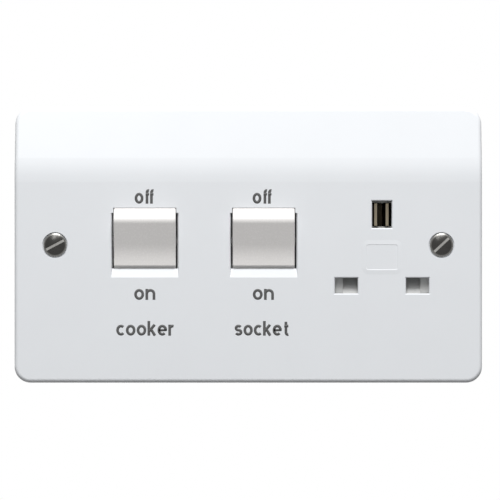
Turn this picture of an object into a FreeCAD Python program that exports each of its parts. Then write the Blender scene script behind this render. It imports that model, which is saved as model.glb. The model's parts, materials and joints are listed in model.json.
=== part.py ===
import FreeCAD, Part
import os
import re
import Sketcher
from FreeCAD import Placement, Rotation, Vector

# Two-gang cooker control unit, in millimetres. X runs to the right and Z up as seen from the front,
# Y runs back into the wall. The origin is the centre of the plate in the plane of the wall.
DIMENSIONS = {
    # Front plate
    "plate_width": 146.0,
    "plate_height": 86.0,
    "plate_depth": 9.5,
    "plate_wall": 2.5,
    "rim_wall": 2.4,
    "plate_corner": 5.0,
    "plate_edge": 1.3,
    "slope_start": 23.5,
    "slope_drop": 4.3,
    "bend_radius": 35.0,
    "slot_chamfer": 0.3,
    # Wall fixing screws
    "fixing_spacing": 120.6,
    "fixing_hole": 4.4,
    "fixing_boss": 8.6,
    "boss_setback": 1.2,
    "fixing_head": 7.3,
    "fixing_raise": 0.9,
    "fixing_neck": 3.0,
    "fixing_thread": 3.5,
    "fixing_length": 32.0,
    "fixing_slot_width": 1.0,
    "fixing_slot_depth": 0.9,
    "left_slot_angle": 28.0,
    "right_slot_angle": 43.0,
    "head_clearance": 0.1,
    "head_moat": 0.35,
    "head_moat_depth": 0.5,
    # Rockers and their wells
    "switch_height": 1.25,
    "cooker_x": -32.3,
    "outlet_switch_x": 4.8,
    "opening_width": 20.4,
    "opening_rise": 8.75,
    "opening_drop": 8.6,
    "bevel_side": 0.35,
    "bevel_end": 2.8,
    "bevel_depth": 0.8,
    "rocker_width": 19.4,
    "rocker_tilt": 7.5,
    "pivot_depth": 8.0,
    "face_top_out": 10.18,
    "face_top_height": 7.95,
    "end_round": 2.2,
    "end_clearance": 0.2,
    "end_side_gap": 0.15,
    "fold_out": 8.49,
    "fold_drop": 2.61,
    "face_bottom_out": 8.84,
    "face_bottom_drop": 6.6,
    "lip_out": 5.2,
    "skirt_out": 3.8,
    "skirt_height": 8.0,
    "skirt_back": 2.0,
    "fold_radius": 20.0,
    "rocker_edge": 0.5,
    "rocker_wall": 1.8,
    "trunnion": 3.0,
    "trunnion_reach": 12.2,
    "journal_clearance": 0.05,
    # Plungers and their springs
    "pole_spacing": 11.0,
    "barrel": 6.4,
    "barrel_reach": 4.0,
    "plunger": 4.0,
    "plunger_reach": 8.0,
    "plunger_length": 10.0,
    "plunger_clearance": 0.05,
    "spring_gap": 0.1,
    "spring_wire": 0.5,
    "plunger_spring_turns": 4.0,
    # See-saw contacts
    "tip_gap": 0.1,
    "bar_thickness": 1.2,
    "bar_width": 6.0,
    "bar_half_length": 9.0,
    "bar_tilt": 6.0,
    "nose_radius": 1.0,
    "nose_clearance": 0.1,
    "contact_tip": 3.2,
    "contact_tip_thickness": 0.6,
    "contact_tip_height": 7.5,
    "contact_gap": 0.1,
    "strip_thickness": 1.0,
    "contact_strip_overlap": 2.1,
    "contact_leg_height": 9.8,
    "neutral_leg_drop": 3.75,
    "live_leg_drop": 9.25,
    # Base and cover
    "base_left": 52.0,
    "base_right": 58.5,
    "base_half_height": 31.0,
    "base_front": 3.0,
    "base_rear": 16.0,
    "cover_thickness": 2.2,
    "chamber_half_width": 10.6,
    "chamber_half_height": 13.25,
    "chamber_wall": 2.6,
    "chamber_floor": 2.5,
    "collar_clearance": 0.3,
    "notch_x": 54.0,
    "notch_half_height": 8.0,
    "base_screw_left": 48.0,
    "base_screw_right": 54.5,
    "base_screw_height": 27.0,
    "base_screw_boss": 6.4,
    "base_screw": 3.0,
    "base_screw_head": 5.8,
    "base_screw_head_height": 1.8,
    "base_screw_bite": 3.2,
    "screw_clearance": 0.1,
    "seat_clearance": 0.1,
    # Links in the back of the base
    "link_recess": 0.2,
    "link_width": 3.5,
    "link_clearance": 0.15,
    "live_link_gap": 1.0,
    "neutral_link_drop": 4.5,
    "neutral_link_width": 3.0,
    "live_link_top": 22.0,
    "neutral_link_top": 14.5,
    "live_leg_x": 50.9,
    "neutral_riser_x": 21.25,
    # Terminals
    "terminal_spacing": 13.0,
    "terminal_width": 10.0,
    "terminal_height": 10.0,
    "terminal_depth": 11.0,
    "terminal_near": 18.0,
    "terminal_rear_gap": 0.1,
    "cable_bore": 6.5,
    "cable_bore_wall": 1.35,
    "cable_channel": 7.4,
    "clamp_screw": 5.0,
    "clamp_screw_rise": 2.0,
    "clamp_slot_width": 0.9,
    "clamp_slot_depth": 0.9,
    "clamp_tip_gap": 0.15,
    "earth_terminal_width": 14.0,
    "earth_terminal_near": 19.0,
    "earth_bore": 5.0,
    "earth_bore_spacing": 7.0,
    "earth_clamp_screw": 4.0,
    # Socket outlet
    "outlet_x": 41.7,
    "earth_height": 9.53,
    "pin_pitch": 22.23,
    "earth_slot_width": 6.2,
    "earth_slot_height": 8.5,
    "line_slot_width": 7.2,
    "line_slot_height": 4.9,
    "clip_leaf": 0.9,
    "clip_web": 1.0,
    "clip_corner": 0.6,
    "line_clip_width": 6.5,
    "line_clip_gap": 3.2,
    "line_clip_setback": 2.0,
    "line_lip": 1.5,
    "earth_clip_height": 7.0,
    "earth_clip_gap": 2.7,
    "earth_clip_proud": 2.0,
    "clip_flare": 0.4,
    "clip_flare_length": 2.5,
    "clip_spread": 1.0,
    "clip_clearance": 0.2,
    # Shutter
    "shutter_half_width": 14.9,
    "shutter_cover": 0.65,
    "shutter_foot": 1.05,
    "shutter_thickness": 3.5,
    "shutter_plate_gap": 0.3,
    "shutter_web": 1.0,
    "ramp_width": 6.0,
    "ramp_shift": 2.0,
    "guide_gap": 0.3,
    "guide_width": 1.5,
    "guide_foot": 23.0,
    "stop_half_width": 5.0,
    "stop_height": 1.3,
    "seat_half_width": 3.0,
    "seat_height": 26.5,
    "seat_thickness": 1.2,
    "shutter_spring": 3.0,
    "shutter_spring_turns": 6.0,
}

doc = FreeCAD.newDocument("cooker_control_unit")
sheet = doc.addObject("Spreadsheet::Sheet", "dimensions")
for row, (alias, value) in enumerate(DIMENSIONS.items(), start=1):
    sheet.set(f"A{row}", alias)
    sheet.set(f"B{row}", str(value))
    sheet.setAlias(f"B{row}", alias)
doc.recompute()

# Planes and centres that several pieces share, as formulas on the sheet
FACE_Y = "(-plate_depth)"
INNER_Y = "(plate_wall - plate_depth)"
PIVOT_Y = "(pivot_depth - plate_depth)"
BAR_FRONT_Y = f"({PIVOT_Y} + plunger_reach + tip_gap)"
BAR_OFFSET = "(nose_radius + nose_clearance)"
FULCRUM_Y = f"({BAR_FRONT_Y} + bar_thickness + {BAR_OFFSET})"
CONTACT_Y = (
    f"({FULCRUM_Y} + (contact_tip_height + contact_tip / 2) * sin(bar_tilt)"
    f" - ({BAR_OFFSET} - contact_tip_thickness) * cos(bar_tilt) + contact_gap)"
)
CONTACT_STRIP_Y = f"({CONTACT_Y} + contact_tip_thickness)"
BASE_FRONT_Y = "(-base_front)"
FLOOR_Y = "(base_rear - chamber_floor)"
LINK_REAR_Y = "(base_rear - link_recess)"
LINK_FRONT_Y = f"({LINK_REAR_Y} - strip_thickness)"
COVER_REAR_Y = "(base_rear + cover_thickness)"
TERMINAL_REAR_Y = "(base_rear - terminal_rear_gap)"
TERMINAL_FRONT_Y = f"({TERMINAL_REAR_Y} - terminal_depth)"
CABLE_Y = f"({TERMINAL_FRONT_Y} + cable_bore_wall + cable_bore / 2)"
COLLAR_Y = f"({INNER_Y} + collar_clearance)"
LINE_Z = "(earth_height - pin_pitch)"
NEUTRAL_X = "(outlet_x - pin_pitch / 2)"
LIVE_X = "(outlet_x + pin_pitch / 2)"
SHUTTER_FRONT_Y = f"({INNER_Y} + shutter_plate_gap)"
SHUTTER_TOP_Z = f"({LINE_Z} + line_slot_height / 2 + shutter_cover)"
SHUTTER_FOOT_Z = f"({LINE_Z} - line_slot_height / 2 - shutter_foot)"
TOP_RADIUS = "sqrt(face_top_out * face_top_out + face_top_height * face_top_height)"
BOTTOM_RADIUS = "sqrt(face_bottom_out * face_bottom_out + face_bottom_drop * face_bottom_drop)"
SLOPE = "(slope_drop / (plate_height / 2 - slope_start))"
LIVE_LINK_DROP = "(terminal_near - live_link_gap)"

SWITCHES = {"cooker": "cooker_x", "socket": "outlet_switch_x"}
# Side of the switch's centre on which each pole lies
POLES = {
    ("cooker", "neutral"): -1,
    ("cooker", "live"): 1,
    ("socket", "live"): -1,
    ("socket", "neutral"): 1,
}
SUB_PARTS = []


def formula(text):
    """Return text with the sheet's name before each dimension's name."""
    return re.sub(r"[a-z_]+", lambda m: f"dimensions.{m[0]}" if m[0] in DIMENSIONS else m[0], str(text))


def number(text):
    """Return the present value of a formula."""
    return float(sheet.evalExpression(formula(text)))


def bind(thing, **formulas):
    """Bind properties of an object to formulas on the sheet."""
    for name, text in formulas.items():
        thing.setExpression(name, formula(text))


def place(thing, x="0", y="0", z="0", turn=None, axis=Vector(1, 0, 0)):
    """Bind an object's place, and its turn about an axis through that place."""
    if turn is not None:
        thing.Placement = Placement(Vector(), Rotation(axis, number(turn)))
        thing.setExpression("Placement.Rotation.Angle", formula(turn))
    for name, text in (("x", x), ("y", y), ("z", z)):
        thing.setExpression(f"Placement.Base.{name}", formula(text))


def pole_x(switch, pole):
    """Return the formula of a pole's centre."""
    return f"({SWITCHES[switch]} + {POLES[switch, pole]} * pole_spacing / 2)"


def rectangle(low_x, high_x, low_y, high_y):
    """Return the corners of an upright rectangle."""
    return [(low_x, low_y), (high_x, low_y), (high_x, high_y), (low_x, high_y)]


def about(centre, width, middle, height):
    """Return the corners of a rectangle about its centre."""
    return rectangle(
        f"{centre} - ({width}) / 2",
        f"{centre} + ({width}) / 2",
        f"{middle} - ({height}) / 2",
        f"{middle} + ({height}) / 2",
    )


def circle(x, y, diameter):
    """Return a round loop of a sketch."""
    return {"x": x, "y": y, "diameter": diameter}


def arc(x, y):
    """Return a mark that the next side of an outline is an arc about this centre."""
    return {"arc_x": x, "arc_y": y}


class Piece:
    """One moulded, turned or folded piece, as a PartDesign body."""

    def __init__(self, name):
        self.body = doc.addObject("PartDesign::Body", name)
        self.body.Label = name
        self.count = 0

    def name(self, kind):
        """Return a new name for a feature of this piece."""
        self.count += 1
        return f"{self.body.Name}_{kind}_{self.count}"

    def fix_point(self, sketch, geometry, position, x, y):
        """Bind a sketch point's coordinates to formulas."""
        for kind, text in (("DistanceX", x), ("DistanceY", y)):
            if text is not None:
                index = sketch.addConstraint(Sketcher.Constraint(kind, geometry, position, number(text)))
                sketch.setExpression(f"Constraints[{index}]", formula(text))

    def add_circle(self, sketch, loop):
        """Add a bound circle to a sketch."""
        centre = Vector(number(loop["x"]), number(loop["y"]), 0)
        radius = number(loop["diameter"]) / 2
        index = sketch.addGeometry(Part.Circle(centre, Vector(0, 0, 1), radius))
        self.fix_point(sketch, index, 3, loop["x"], loop["y"])
        constraint = sketch.addConstraint(Sketcher.Constraint("Diameter", index, 2 * radius))
        sketch.setExpression(f"Constraints[{constraint}]", formula(loop["diameter"]))

    def add_outline(self, sketch, loop):
        """Add a bound closed outline of lines and arcs to a sketch."""
        corners, arcs = [], {}
        for entry in loop:
            if isinstance(entry, dict):
                arcs[len(corners) - 1] = entry
            else:
                corners.append(entry)
        points = [Vector(number(x), number(y), 0) for x, y in corners]
        sides = []
        for i, start in enumerate(points):
            end = points[(i + 1) % len(points)]
            curve = Part.LineSegment(start, end)
            if i in arcs:
                centre = Vector(number(arcs[i]["arc_x"]), number(arcs[i]["arc_y"]), 0)
                outward = Vector(end.y - start.y, start.x - end.x, 0).normalize()
                curve = Part.Arc(start, centre + outward * (start - centre).Length, end)
            sides.append(sketch.addGeometry(curve))
        ends = [self.side_ends(sketch, side, start) for side, start in zip(sides, points)]
        for i, side in enumerate(sides):
            self.fix_point(sketch, side, ends[i][0], *corners[i])
            following = (i + 1) % len(sides)
            joint = (side, ends[i][1], sides[following], ends[following][0])
            sketch.addConstraint(Sketcher.Constraint("Coincident", *joint))
        for i, loop_arc in arcs.items():
            chord = points[(i + 1) % len(points)] - points[i]
            if abs(chord.x) < abs(chord.y):
                self.fix_point(sketch, sides[i], 3, loop_arc["arc_x"], None)
            else:
                self.fix_point(sketch, sides[i], 3, None, loop_arc["arc_y"])

    def side_ends(self, sketch, side, start):
        """Return the numbers of a side's first and last point along the outline."""
        from_first = sketch.getPoint(side, 1).distanceToPoint(start)
        from_last = sketch.getPoint(side, 2).distanceToPoint(start)
        return (1, 2) if from_first < from_last else (2, 1)

    def sketch(self, plane, loops, offset="0"):
        """Return a sketch of closed loops on a plane of the body's origin, set off along its normal."""
        sketch = self.body.newObject("Sketcher::SketchObject", self.name("sketch"))
        support = next(item for item in self.body.Origin.OriginFeatures if item.Role == plane)
        sketch.AttachmentSupport = (support, [""])
        sketch.MapMode = "FlatFace"
        sketch.setExpression("AttachmentOffset.Base.z", formula(offset))
        for loop in loops:
            if isinstance(loop, dict):
                self.add_circle(sketch, loop)
            else:
                self.add_outline(sketch, loop)
        return sketch

    def feature(self, kind, sketch, **formulas):
        """Return a new feature of the body made from a sketch."""
        feature = self.body.newObject(f"PartDesign::{kind}", self.name(kind.lower()))
        feature.Profile = sketch
        bind(feature, **formulas)
        sketch.Visibility = False
        return feature

    def pad_back(self, loops, low_y, high_y):
        """Pad loops seen from the front between two depths."""
        sketch = self.sketch("XZ_Plane", loops, f"-({high_y})")
        self.feature("Pad", sketch, Length=f"({high_y}) - ({low_y})")

    def pocket_back(self, loops, low_y, high_y):
        """Cut loops seen from the front between two depths."""
        sketch = self.sketch("XZ_Plane", loops, f"-({low_y})")
        self.feature("Pocket", sketch, Length=f"({high_y}) - ({low_y})")

    def both_ways(self, kind, plane, loops, middle, length):
        """Pad or cut loops to both sides of a middle plane."""
        feature = self.feature(kind, self.sketch(plane, loops, middle), Length=length)
        feature.SideType = "Symmetric"

    def pad_across(self, loops, middle, width):
        """Pad loops seen from the side to both sides of a middle plane."""
        self.both_ways("Pad", "YZ_Plane", loops, middle, width)

    def pocket_across(self, loops, middle, width):
        """Cut loops seen from the side to both sides of a middle plane."""
        self.both_ways("Pocket", "YZ_Plane", loops, middle, width)

    def pad_up(self, loops, middle, height):
        """Pad loops seen from above to both sides of a middle plane."""
        self.both_ways("Pad", "XY_Plane", loops, middle, height)

    def pocket_up(self, loops, middle, height):
        """Cut loops seen from above to both sides of a middle plane."""
        self.both_ways("Pocket", "XY_Plane", loops, middle, height)

    def turn(self, loop):
        """Revolve a half section, drawn in X and Y, about the Y axis."""
        sketch = self.sketch("XY_Plane", [loop])
        self.feature("Revolution", sketch).ReferenceAxis = (sketch, ["V_Axis"])

    def blend(self, kind, choose, size):
        """Fillet or chamfer the edges that a test on their middle and direction chooses."""
        doc.recompute()
        base = self.body.Tip
        names = []
        for index, edge in enumerate(base.Shape.Edges, start=1):
            middle = edge.valueAt((edge.FirstParameter + edge.LastParameter) / 2)
            along = edge.tangentAt((edge.FirstParameter + edge.LastParameter) / 2)
            if choose(middle, along):
                names.append(f"Edge{index}")
        feature = self.body.newObject(f"PartDesign::{kind}", self.name(kind.lower()))
        feature.Base = (base, names)
        bind(feature, **{"Radius" if kind == "Fillet" else "Size": size})

    def done(self, *position, **turn):
        """Place the piece and list it as a sub-part."""
        if position:
            place(self.body, *position, **turn)
        SUB_PARTS.append(self.body)
        return self.body


def group(name, members):
    """Join equal separate pieces under one name."""
    compound = doc.addObject("Part::Compound", name)
    compound.Label = name
    compound.Links = members
    SUB_PARTS.append(compound)


def near(value, text, slack=0.02):
    """Tell whether a coordinate has the value of a formula."""
    return abs(value - number(text)) < slack


def front_plate():
    """Moulded plate: sloped top, hollow back, wells, slots, screw holes and bosses."""
    plate = Piece("front_plate")
    half_height = "plate_height / 2"
    plate.pad_back([about("0", "plate_width", "0", "plate_height")], FACE_Y, "0")
    plate.blend("Fillet", lambda middle, along: abs(along.y) > 0.99, "plate_corner")
    over = f"({half_height} + slope_drop)"
    before = f"({FACE_Y} - slope_drop)"
    above_slope = [
        (FACE_Y, "slope_start"),
        (f"{FACE_Y} + ({over} - slope_start) * {SLOPE}", over),
        (before, over),
        (before, "slope_start"),
    ]
    plate.pocket_across([above_slope], "0", "plate_width * 2")
    plate.blend("Fillet", across_at(FACE_Y, "slope_start"), "bend_radius")
    plate.blend("Fillet", front_rim_edge, "plate_edge")
    inner_top = f"({half_height} - rim_wall)"
    hollow = [
        (INNER_Y, f"-{inner_top}"),
        ("plate_wall", f"-{inner_top}"),
        ("plate_wall", inner_top),
        (f"{INNER_Y} + ({inner_top} - slope_start) * {SLOPE}", inner_top),
        (INNER_Y, "slope_start"),
    ]
    plate.pocket_across([hollow], "0", "plate_width - 2 * rim_wall")
    plate.pad_back(fixing_circles("fixing_boss"), f"{INNER_Y} - plate_wall / 4", "-boss_setback")
    plate.pad_back(base_screw_circles("base_screw_boss"), f"{INNER_Y} - plate_wall / 4", BASE_FRONT_Y)
    pilot = base_screw_circles("base_screw + 2 * screw_clearance")
    plate.pocket_back(pilot, f"{BASE_FRONT_Y} - base_screw_bite - seat_clearance", BASE_FRONT_Y)
    for centre in SWITCHES.values():
        rocker_opening(plate, centre)
    plate.pocket_back(fixing_circles("fixing_hole"), f"{FACE_Y} - plate_wall", "0")
    slots = [
        about("outlet_x", "earth_slot_width", "earth_height", "earth_slot_height"),
        about(NEUTRAL_X, "line_slot_width", LINE_Z, "line_slot_height"),
        about(LIVE_X, "line_slot_width", LINE_Z, "line_slot_height"),
    ]
    plate.pocket_back(slots, f"{FACE_Y} - plate_wall", "0")
    plate.blend("Chamfer", slot_edge, "slot_chamfer")
    plate.blend("Chamfer", fixing_hole_edge, "(fixing_head + head_clearance - fixing_hole) / 2")
    moat = fixing_circles("fixing_head + 2 * head_moat")
    plate.pocket_back(moat, f"{FACE_Y} - plate_wall", f"{FACE_Y} + head_moat_depth")
    plate.done()


def front_rim_edge(middle, along):
    """Tell whether an edge of the plate runs round the rim of its front."""
    across, up = abs(middle.x), abs(middle.z)
    corner_x = across - number("plate_width / 2 - plate_corner")
    corner_z = up - number("plate_height / 2 - plate_corner")
    if corner_x > 0 and corner_z > 0:
        on_side = abs((corner_x**2 + corner_z**2) ** 0.5 - number("plate_corner")) < 0.02
    else:
        on_side = near(across, "plate_width / 2") or near(up, "plate_height / 2")
    return on_side and middle.y < number(f"{FACE_Y} + slope_drop + 0.02") and abs(along.y) < 0.9


def slot_edge(middle, along):
    """Tell whether an edge lies where a pin slot meets the plate's face."""
    reach = number("pin_pitch / 2 + line_slot_width")
    return (
        near(middle.y, FACE_Y)
        and abs(middle.x - number("outlet_x")) < reach
        and abs(middle.z) < number("pin_pitch")
        and abs(middle.x) < number("fixing_spacing / 2 - fixing_head / 2")
    )


def fixing_hole_edge(middle, along):
    """Tell whether an edge lies where a fixing hole meets the plate's face."""
    from_axis = ((abs(middle.x) - number("fixing_spacing / 2")) ** 2 + middle.z**2) ** 0.5
    return near(middle.y, FACE_Y) and near(from_axis, "fixing_hole / 2")


def fixing_circles(diameter):
    """Return circles about the two wall fixing screws."""
    return [circle(f"{side} * fixing_spacing / 2", "0", diameter) for side in (-1, 1)]


def base_screw_places():
    """Return the centres of the four screws that hold the base to the plate."""
    columns = ("-base_screw_left", "base_screw_right")
    return [(x, f"{side} * base_screw_height") for x in columns for side in (-1, 1)]


def base_screw_circles(diameter):
    """Return circles about the four screws that hold the base to the plate."""
    return [circle(x, z, diameter) for x, z in base_screw_places()]


def rocker_opening(plate, centre):
    """Cut a rocker's opening with ways for its round ends and a bevel below, and cap its bearings."""
    low, high = "(switch_height - opening_drop)", "(switch_height + opening_rise)"
    left, right = f"({centre} - opening_width / 2)", f"({centre} + opening_width / 2)"
    throat = rectangle(left, right, low, high)
    plate.pocket_back([throat], f"{FACE_Y} - plate_wall", "0")
    top, bottom = f"({TOP_RADIUS} + end_clearance)", f"({BOTTOM_RADIUS} + end_clearance)"
    top_way = [
        (f"{PIVOT_Y} - {top}", "switch_height"),
        (PIVOT_Y, "switch_height"),
        (PIVOT_Y, f"switch_height + {top}"),
        arc(PIVOT_Y, "switch_height"),
    ]
    bottom_way = [
        (f"{PIVOT_Y} - {bottom}", "switch_height"),
        arc(PIVOT_Y, "switch_height"),
        (PIVOT_Y, f"switch_height - {bottom}"),
        (PIVOT_Y, "switch_height"),
    ]
    for way in (top_way, bottom_way):
        plate.pocket_across([way], centre, "rocker_width + 2 * end_side_gap")
    mouth = rectangle(f"{left} - bevel_side", f"{right} + bevel_side", f"{low} - bevel_end", high)
    loft = plate.body.newObject("PartDesign::SubtractiveLoft", plate.name("well"))
    loft.Profile = plate.sketch("XZ_Plane", [mouth], "plate_depth")
    loft.Sections = [plate.sketch("XZ_Plane", [throat], "plate_depth - bevel_depth")]
    loft.Ruled = True
    plate.body.Tip = loft
    cap_x = "(chamber_half_width + chamber_wall / 2)"
    cap_height = "trunnion - 4 * journal_clearance"
    caps = [
        about(f"{centre} + {side} * {cap_x}", "chamber_wall", "switch_height", cap_height)
        for side in (-1, 1)
    ]
    cap_rear = f"{PIVOT_Y} - trunnion / 2 - 2 * journal_clearance"
    plate.pad_back(caps, f"{INNER_Y} - plate_wall / 4", cap_rear)


def fixing_screw(side):
    """Raised countersunk slotted screw on a side of the plate, turned to the angle of its slot."""
    screw = Piece(f"fixing_screw_{side}")
    dome_radius = "(fixing_head * fixing_head / 4 + fixing_raise * fixing_raise) / (2 * fixing_raise)"
    dome_y = f"({dome_radius} - fixing_raise)"
    neck_end = "(plate_depth - boss_setback + seat_clearance)"
    screw.turn(
        [
            ("0", "-fixing_raise"),
            arc("0", dome_y),
            ("fixing_head / 2", "0"),
            ("fixing_neck / 2", "(fixing_head - fixing_neck) / 2"),
            ("fixing_neck / 2", neck_end),
            ("fixing_thread / 2", neck_end),
            ("fixing_thread / 2", "fixing_length"),
            ("0", "fixing_length"),
        ]
    )
    slot = rectangle(
        "-2 * fixing_raise",
        "fixing_slot_depth - fixing_raise",
        "-fixing_slot_width / 2",
        "fixing_slot_width / 2",
    )
    screw.pocket_across([slot], "0", "2 * fixing_head")
    sign = {"left": -1, "right": 1}[side]
    x = f"{sign} * fixing_spacing / 2"
    place(screw.body, x, FACE_Y, "0", f"-{side}_slot_angle", Vector(0, 1, 0))
    return screw.body


def rocker(switch):
    """Hollow rocker about its pivot: folded face, round ends, trunnions and two plunger barrels."""
    piece = Piece(f"{switch}_rocker")
    lip_top = f"sqrt({TOP_RADIUS} * {TOP_RADIUS} - lip_out * lip_out)"
    lip_bottom = f"sqrt({BOTTOM_RADIUS} * {BOTTOM_RADIUS} - lip_out * lip_out)"
    piece.pad_across(
        [
            [
                ("-fold_out", "-fold_drop"),
                ("-face_bottom_out", "-face_bottom_drop"),
                arc("0", "0"),
                ("-lip_out", f"-1 * {lip_bottom}"),
                ("-skirt_out", "-skirt_height"),
                ("skirt_back", "-skirt_height"),
                ("skirt_back", "skirt_height"),
                ("-skirt_out", "skirt_height"),
                ("-lip_out", lip_top),
                arc("0", "0"),
                ("-face_top_out", "face_top_height"),
            ]
        ],
        "0",
        "rocker_width",
    )
    rounded = (
        ("fold_out", "-fold_drop", "fold_radius"),
        ("face_top_out", "face_top_height", "end_round"),
    )
    for out, height, size in rounded:
        piece.blend("Fillet", across_at(f"-{out}", height), size)
    piece.blend("Fillet", rocker_face_edge, "rocker_edge")
    piece.pad_across([circle("0", "0", "trunnion")], "0", "2 * trunnion_reach")
    hollow_y = "(rocker_wall - fold_out)"
    flank = "(rocker_width / 2 - rocker_wall)"
    hollow = rectangle(f"-{flank}", flank, "rocker_wall - skirt_height", "skirt_height - rocker_wall")
    piece.pocket_back([hollow], hollow_y, "barrel_reach")
    spots = [f"{side} * pole_spacing / 2" for side in (-1, 1)]
    barrels = [circle(x, "0", "barrel") for x in spots]
    piece.pad_back(barrels, f"{hollow_y} - rocker_wall / 4", "barrel_reach")
    bores = [circle(x, "0", "plunger + 2 * plunger_clearance") for x in spots]
    piece.pocket_back(bores, hollow_y, "2 * barrel_reach")
    piece.done(SWITCHES[switch], PIVOT_Y, "switch_height", turn="rocker_tilt")


def across_at(y, z):
    """Return a test for an edge that runs across at a depth and a height."""
    return lambda middle, along: abs(along.x) > 0.99 and near(middle.y, y) and near(middle.z, z)


def rocker_face_edge(middle, along):
    """Tell whether an edge of a rocker runs up a side of its face or along the bottom of it."""
    if across_at("-face_bottom_out", "-face_bottom_drop")(middle, along):
        return True
    return near(abs(middle.x), "rocker_width / 2") and middle.y < number("-lip_out")


def plunger(switch, pole):
    """Round-nosed plunger that slides in a barrel of its rocker."""
    piece = Piece(f"{switch}_{pole}_plunger")
    foot = "(plunger_reach - plunger_length)"
    shoulder = "(plunger_reach - plunger / 2)"
    piece.turn(
        [
            ("0", foot),
            ("plunger / 2", foot),
            ("plunger / 2", shoulder),
            arc("0", shoulder),
            ("0", "plunger_reach"),
        ]
    )
    piece.done(pole_x(switch, pole), PIVOT_Y, "switch_height", turn="rocker_tilt")


def coil(name, length, outside, turns):
    """Return a coil spring of square wire along Z from its own origin."""
    helix = doc.addObject("Part::Helix", f"{name}_path")
    bind(
        helix,
        Radius=f"({outside} - spring_wire) / 2",
        Height=f"{length} - 2 * spring_wire",
        Pitch=f"({length} - 2 * spring_wire) / {turns}",
    )
    helix.SegmentLength = 0
    place(helix, z="spring_wire")
    section = doc.addObject("Part::RegularPolygon", f"{name}_section")
    section.Polygon = 4
    bind(section, Circumradius="spring_wire / 2")
    place(section, f"({outside} - spring_wire) / 2", "0", "spring_wire", "90")
    spring = doc.addObject("Part::Sweep", name)
    spring.Label = name
    spring.Sections = [section]
    spring.Spine = (helix, ["Edge1"])
    spring.Solid = True
    spring.Frenet = True
    SUB_PARTS.append(spring)
    return spring


def plunger_spring(switch, pole):
    """Coil spring between the end of a barrel and its plunger."""
    seat = "(rocker_wall - fold_out + spring_gap)"
    length = f"(plunger_reach - plunger_length - spring_gap - {seat})"
    spring = coil(f"{switch}_{pole}_spring", length, "(plunger - 2 * spring_gap)", "plunger_spring_turns")
    place(
        spring,
        pole_x(switch, pole),
        f"{PIVOT_Y} + {seat} * cos(rocker_tilt)",
        f"switch_height + {seat} * sin(rocker_tilt)",
        "rocker_tilt - 90",
    )


def contact_bar(switch, pole):
    """See-saw contact bar that rocks on its fulcrum, about the fulcrum's axis."""
    piece = Piece(f"{switch}_{pole}_bar")
    front, rear = f"-({BAR_OFFSET} + bar_thickness)", f"-{BAR_OFFSET}"
    piece.pad_across([rectangle(front, rear, "-bar_half_length", "bar_half_length")], "0", "bar_width")
    piece.blend("Fillet", lambda middle, along: abs(along.y) > 0.99, "bar_width / 5")
    piece.done(pole_x(switch, pole), FULCRUM_Y, "switch_height", turn="-bar_tilt")
    tip = Piece(f"{switch}_{pole}_tip")
    tip.pad_back(
        [circle("0", "contact_tip_height", "contact_tip")], rear, f"contact_tip_thickness - {BAR_OFFSET}"
    )
    tip.done(pole_x(switch, pole), FULCRUM_Y, "switch_height", turn="-bar_tilt")


def leg_drop(pole):
    """Return the depth below the switch's centre at which a pole's feed strip goes through the floor."""
    return f"{pole}_leg_drop"


def tail_end(switch, pole):
    """Return the height at which a feed strip's tail ends."""
    if switch == "cooker":
        return "-terminal_near"
    return f"-{LIVE_LINK_DROP}" if pole == "live" else "-neutral_link_drop"


def feed_strip(switch, pole):
    """Folded strip with a round-topped fulcrum, which carries the supply to a contact bar."""
    piece = Piece(f"{switch}_{pole}_feed")
    leg = f"(switch_height - {leg_drop(pole)})"
    foot = f"({FLOOR_Y} - strip_thickness)"
    crest = "(switch_height + nose_radius)"
    piece.pad_across(
        [
            [
                (FULCRUM_Y, crest),
                arc(FULCRUM_Y, "switch_height"),
                (FULCRUM_Y, "switch_height - nose_radius"),
                (foot, "switch_height - nose_radius"),
                (foot, leg),
                (LINK_FRONT_Y, leg),
                (LINK_FRONT_Y, tail_end(switch, pole)),
                (LINK_REAR_Y, tail_end(switch, pole)),
                (LINK_REAR_Y, f"{leg} + strip_thickness"),
                (FLOOR_Y, f"{leg} + strip_thickness"),
                (FLOOR_Y, crest),
            ]
        ],
        pole_x(switch, pole),
        "bar_width",
    )
    piece.done()


def contact_end(switch, pole):
    """Return the height at which a fixed contact's tail ends."""
    if switch == "cooker":
        return "terminal_near"
    return f"{pole}_link_top"


def fixed_contact(switch, pole):
    """Folded strip that a contact bar closes on, with its tail through the floor of the base."""
    piece = Piece(f"{switch}_{pole}_fixed_contact")
    low = "(switch_height + contact_tip_height - contact_strip_overlap)"
    leg = "(switch_height + contact_leg_height)"
    end = contact_end(switch, pole)
    piece.pad_across(
        [
            [
                (CONTACT_STRIP_Y, low),
                (f"{CONTACT_STRIP_Y} + strip_thickness", low),
                (f"{CONTACT_STRIP_Y} + strip_thickness", f"{leg} - strip_thickness"),
                (LINK_REAR_Y, f"{leg} - strip_thickness"),
                (LINK_REAR_Y, end),
                (LINK_FRONT_Y, end),
                (LINK_FRONT_Y, leg),
                (CONTACT_STRIP_Y, leg),
            ]
        ],
        pole_x(switch, pole),
        "bar_width",
    )
    piece.done()


def fixed_tips():
    """Four contact tips on the fixed contacts."""
    tips = []
    for switch, pole in POLES:
        tip = Piece(f"{switch}_{pole}_fixed_tip")
        spot = circle(pole_x(switch, pole), "switch_height + contact_tip_height", "contact_tip")
        tip.pad_back([spot], CONTACT_Y, CONTACT_STRIP_Y)
        tips.append(tip.body)
    group("fixed_tips", tips)


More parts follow.
